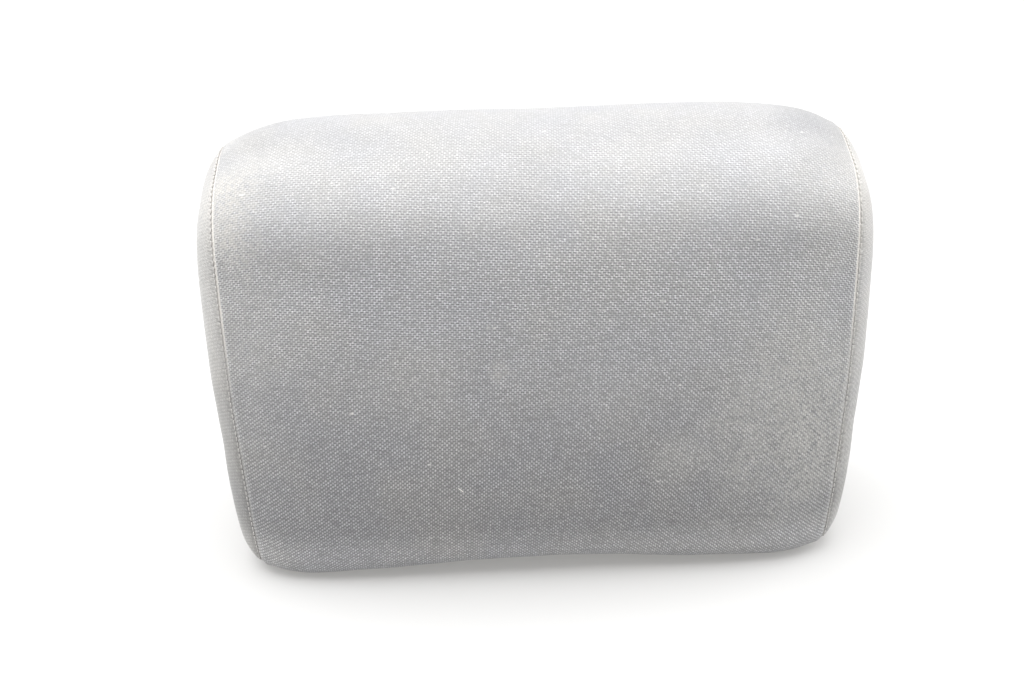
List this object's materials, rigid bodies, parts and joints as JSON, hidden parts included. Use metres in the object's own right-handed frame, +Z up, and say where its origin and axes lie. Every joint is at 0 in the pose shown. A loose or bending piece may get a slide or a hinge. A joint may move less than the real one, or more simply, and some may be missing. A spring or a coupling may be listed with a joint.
{
  "type": "car headrest",
  "caption": "Fabric covered headrest pad with a foam core round a ribbed carrier; slides down onto two seat posts through sockets in its underside.",
  "frame": {"origin": "middle of the pad's footprint, on the surface that its lower corners stand on", "axes": "+Z up along the post sockets, +X across the pad to the right seen from the front, -Y towards the sitter's head"},
  "size_m": [0.252, 0.096, 0.178],
  "materials": {
    "woven_cover": "coarse grey flat weave, worn paler at the upper corners",
    "core_foam": "moulded polyurethane foam with a fine closed skin",
    "carrier_plastic": "moulded black polypropylene",
    "base_plastic": "fine grained black plastic",
    "sleeve_plastic": "smooth black acetal",
    "strip_plastic": "milky extruded plastic",
    "guide_steel": "drawn steel tube, zinc plated",
    "spring_steel": "blue grey spring steel strip",
    "screw_zinc": "yellowish zinc plate"
  },
  "bodies": {
    "root": {"main_panel": "woven_cover", "left_side_panel": "woven_cover", "right_side_panel": "woven_cover", "foam_core": "core_foam", "carrier_front_half": "carrier_plastic", "carrier_rear_half": "carrier_plastic", "left_post_guide": "guide_steel", "right_post_guide": "guide_steel", "left_detent_spring": "spring_steel", "right_detent_spring": "spring_steel", "left_post_sleeve": "sleeve_plastic", "right_post_sleeve": "sleeve_plastic", "front_closing_strip": "strip_plastic", "rear_closing_strip": "strip_plastic", "base_plate": "base_plastic", "base_screw_left_front": "screw_zinc", "base_screw_left_rear": "screw_zinc", "carrier_screw_left_low": "screw_zinc", "carrier_screw_left_high": "screw_zinc", "base_screw_right_front": "screw_zinc", "base_screw_right_rear": "screw_zinc", "carrier_screw_right_low": "screw_zinc", "carrier_screw_right_high": "screw_zinc"}
  },
  "joints": []
}
